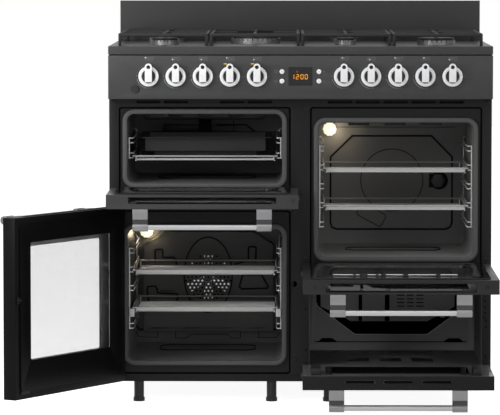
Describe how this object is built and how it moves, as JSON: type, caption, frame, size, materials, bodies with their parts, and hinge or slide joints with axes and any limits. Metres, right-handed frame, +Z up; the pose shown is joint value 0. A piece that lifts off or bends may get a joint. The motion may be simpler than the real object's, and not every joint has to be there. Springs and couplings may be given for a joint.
{
  "type": "range cooker with double oven",
  "caption": "Free-standing range cooker with a gas hob, a grill oven, a side-hinged fan oven, a drop-door main oven and a storage compartment, shown with its doors open.",
  "frame": {"origin": "on the floor under the middle of the body's width and depth", "axes": "+X to the right seen from the front, +Y from the doors to the rear wall, +Z up"},
  "size_m": [1.2582, 1.0625, 1.045],
  "materials": {
    "anthracite_enamel": "satin",
    "side_enamel": "satin",
    "dark_enamel": "gloss",
    "oven_enamel": "gloss",
    "galvanised": "satin",
    "seal_rubber": "matt",
    "clock_face": "gloss",
    "burner_alloy": "satin",
    "cap_enamel": "matt",
    "foot_plastic": "matt",
    "lamp_glass": "clear",
    "element_steel": "matt",
    "gas_brass": "satin",
    "bright_steel": "satin",
    "chrome_wire": "polished",
    "door_enamel": "satin",
    "door_glass": "tinted",
    "handle_steel": "brushed",
    "cast_iron": "matt",
    "knob_metal": "metallic satin",
    "button_silver": "metallic satin",
    "button_black": "gloss"
  },
  "bodies": {
    "cooker_body": {"base_frame": "dark_enamel", "side_panels": "side_enamel", "rear_panel": "galvanised", "front_frame": "dark_enamel", "control_panel": "anthracite_enamel", "timer_display": "clock_face", "hob_plate": "anthracite_enamel", "splashback": "anthracite_enamel", "burner_heads": "burner_alloy", "burner_caps": "cap_enamel", "cavity_grill": "oven_enamel", "cavity_fan": "oven_enamel", "cavity_main": "oven_enamel", "oven_seals": "seal_rubber", "shelf_racks": "chrome_wire", "fan_cover": "oven_enamel", "fan_motor": "galvanised", "feet": "foot_plastic", "heating_elements": "element_steel", "oven_lamps": "lamp_glass", "gas_rail": "gas_brass", "hinge_brackets": "bright_steel"},
    "fan_impeller": {"fan_blade": "bright_steel"},
    "grill_door": {"grill_door_shell": "door_enamel", "grill_door_glass": "door_glass", "grill_door_handle": "handle_steel"},
    "fan_door": {"fan_door_shell": "door_enamel", "fan_door_glass": "door_glass", "fan_door_handle": "handle_steel"},
    "main_door": {"main_door_shell": "door_enamel", "main_door_glass": "door_glass", "main_door_handle": "handle_steel"},
    "storage_door": {"storage_door_panel": "door_enamel", "storage_door_handle": "handle_steel"},
    "grill_shelf_body": {"grill_shelf": "chrome_wire"},
    "grill_pan_body": {"grill_pan": "oven_enamel"},
    "fan_upper_shelf_body": {"fan_shelf_upper": "chrome_wire"},
    "fan_lower_shelf_body": {"fan_shelf_lower": "chrome_wire", "shelf_runners": "bright_steel"},
    "main_upper_shelf_body": {"main_shelf_upper": "chrome_wire"},
    "main_lower_shelf_body": {"main_shelf_lower": "chrome_wire"},
    "pan_support_1_body": {"pan_support_1": "cast_iron"},
    "pan_support_2_body": {"pan_support_2": "cast_iron"},
    "pan_support_3_body": {"pan_support_3": "cast_iron"},
    "pan_support_4_body": {"pan_support_4": "cast_iron"},
    "knob_1_body": {"knob_1": "knob_metal"},
    "knob_2_body": {"knob_2": "knob_metal"},
    "knob_3_body": {"knob_3": "knob_metal"},
    "knob_4_body": {"knob_4": "knob_metal"},
    "knob_5_body": {"knob_5": "knob_metal"},
    "knob_6_body": {"knob_6": "knob_metal"},
    "knob_7_body": {"knob_7": "knob_metal"},
    "knob_8_body": {"knob_8": "knob_metal"},
    "knob_9_body": {"knob_9": "knob_metal"},
    "knob_10_body": {"knob_10": "knob_metal"},
    "timer_button_1_body": {"timer_button_1": "button_silver"},
    "timer_button_2_body": {"timer_button_2": "button_silver"},
    "timer_button_3_body": {"timer_button_3": "button_silver"},
    "timer_button_4_body": {"timer_button_4": "button_silver"},
    "ignition_button_body": {"ignition_button": "button_black"}
  },
  "joints": [
    {"name": "grill_door_drop", "type": "hinge", "parent": "cooker_body", "child": "grill_door", "pos_m": [-0.25, -0.29, 0.539], "axis": [1, 0, 0], "range_deg": [-90, 0]},
    {"name": "fan_door_swing", "type": "hinge", "parent": "cooker_body", "child": "fan_door", "pos_m": [-0.485, -0.29, 0.289], "axis": [0, 0, -1], "range_deg": [-121.5, 0]},
    {"name": "main_door_drop", "type": "hinge", "parent": "cooker_body", "child": "main_door", "pos_m": [0.25, -0.29, 0.341], "axis": [1, 0, 0], "range_deg": [-90, 0]},
    {"name": "storage_door_drop", "type": "hinge", "parent": "cooker_body", "child": "storage_door", "pos_m": [0.25, -0.29, 0.075], "axis": [1, 0, 0], "range_deg": [-90, 0]},
    {"name": "fan_spin", "type": "hinge", "parent": "cooker_body", "child": "fan_impeller", "pos_m": [-0.25, 0.154, 0.292], "axis": [0, 1, 0], "continuous": true},
    {"name": "grill_shelf_slide", "type": "slide", "parent": "cooker_body", "child": "grill_shelf_body", "axis": [0, -1, 0], "range_m": [0, 0.2]},
    {"name": "grill_pan_lift", "type": "slide", "parent": "grill_shelf_body", "child": "grill_pan_body", "axis": [0, 0, 1], "range_m": [0, 0.03]},
    {"name": "fan_upper_shelf_slide", "type": "slide", "parent": "cooker_body", "child": "fan_upper_shelf_body", "axis": [0, -1, 0], "range_m": [0, 0.2]},
    {"name": "fan_lower_shelf_slide", "type": "slide", "parent": "cooker_body", "child": "fan_lower_shelf_body", "axis": [0, -1, 0], "range_m": [0, 0.22]},
    {"name": "main_upper_shelf_slide", "type": "slide", "parent": "cooker_body", "child": "main_upper_shelf_body", "axis": [0, -1, 0], "range_m": [0, 0.2]},
    {"name": "main_lower_shelf_slide", "type": "slide", "parent": "cooker_body", "child": "main_lower_shelf_body", "axis": [0, -1, 0], "range_m": [0, 0.2]},
    {"name": "pan_support_1_lift", "type": "slide", "parent": "cooker_body", "child": "pan_support_1_body", "axis": [0, 0, 1], "range_m": [0, 0.06]},
    {"name": "pan_support_2_lift", "type": "slide", "parent": "cooker_body", "child": "pan_support_2_body", "axis": [0, 0, 1], "range_m": [0, 0.06]},
    {"name": "pan_support_3_lift", "type": "slide", "parent": "cooker_body", "child": "pan_support_3_body", "axis": [0, 0, 1], "range_m": [0, 0.06]},
    {"name": "pan_support_4_lift", "type": "slide", "parent": "cooker_body", "child": "pan_support_4_body", "axis": [0, 0, 1], "range_m": [0, 0.06]},
    {"name": "knob_1_turn", "type": "hinge", "parent": "cooker_body", "child": "knob_1_body", "pos_m": [-0.3946, -0.3, 0.857], "axis": [0, -1, 0], "range_deg": [0, 210]},
    {"name": "knob_2_turn", "type": "hinge", "parent": "cooker_body", "child": "knob_2_body", "pos_m": [-0.3242, -0.3, 0.857], "axis": [0, -1, 0], "range_deg": [0, 210]},
    {"name": "knob_3_turn", "type": "hinge", "parent": "cooker_body", "child": "knob_3_body", "pos_m": [-0.2538, -0.3, 0.857], "axis": [0, -1, 0], "range_deg": [0, 210]},
    {"name": "knob_4_turn", "type": "hinge", "parent": "cooker_body", "child": "knob_4_body", "pos_m": [-0.1834, -0.3, 0.857], "axis": [0, 1, 0], "range_deg": [0, 240]},
    {"name": "knob_5_turn", "type": "hinge", "parent": "cooker_body", "child": "knob_5_body", "pos_m": [-0.113, -0.3, 0.857], "axis": [0, 1, 0], "range_deg": [0, 240]},
    {"name": "knob_6_turn", "type": "hinge", "parent": "cooker_body", "child": "knob_6_body", "pos_m": [0.113, -0.3, 0.857], "axis": [0, -1, 0], "range_deg": [0, 210]},
    {"name": "knob_7_turn", "type": "hinge", "parent": "cooker_body", "child": "knob_7_body", "pos_m": [0.1834, -0.3, 0.857], "axis": [0, -1, 0], "range_deg": [0, 210]},
    {"name": "knob_8_turn", "type": "hinge", "parent": "cooker_body", "child": "knob_8_body", "pos_m": [0.2538, -0.3, 0.857], "axis": [0, -1, 0], "range_deg": [0, 210]},
    {"name": "knob_9_turn", "type": "hinge", "parent": "cooker_body", "child": "knob_9_body", "pos_m": [0.3242, -0.3, 0.857], "axis": [0, -1, 0], "range_deg": [0, 210]},
    {"name": "knob_10_turn", "type": "hinge", "parent": "cooker_body", "child": "knob_10_body", "pos_m": [0.3946, -0.3, 0.857], "axis": [0, 1, 0], "range_deg": [0, 240]},
    {"name": "timer_button_1_press", "type": "slide", "parent": "cooker_body", "child": "timer_button_1_body", "axis": [0, 1, 0], "range_m": [0, 0.0015], "stiffness_N_per_m": 300},
    {"name": "timer_button_2_press", "type": "slide", "parent": "cooker_body", "child": "timer_button_2_body", "axis": [0, 1, 0], "range_m": [0, 0.0015], "stiffness_N_per_m": 300},
    {"name": "timer_button_3_press", "type": "slide", "parent": "cooker_body", "child": "timer_button_3_body", "axis": [0, 1, 0], "range_m": [0, 0.0015], "stiffness_N_per_m": 300},
    {"name": "timer_button_4_press", "type": "slide", "parent": "cooker_body", "child": "timer_button_4_body", "axis": [0, 1, 0], "range_m": [0, 0.0015], "stiffness_N_per_m": 300},
    {"name": "ignition_button_press", "type": "slide", "parent": "cooker_body", "child": "ignition_button_body", "axis": [0, 1, 0], "range_m": [0, 0.003], "stiffness_N_per_m": 300}
  ],
  "couplings": [
    {"joint": "fan_door_swing", "follows": "grill_door_drop", "ratio": 1.35}
  ]
}
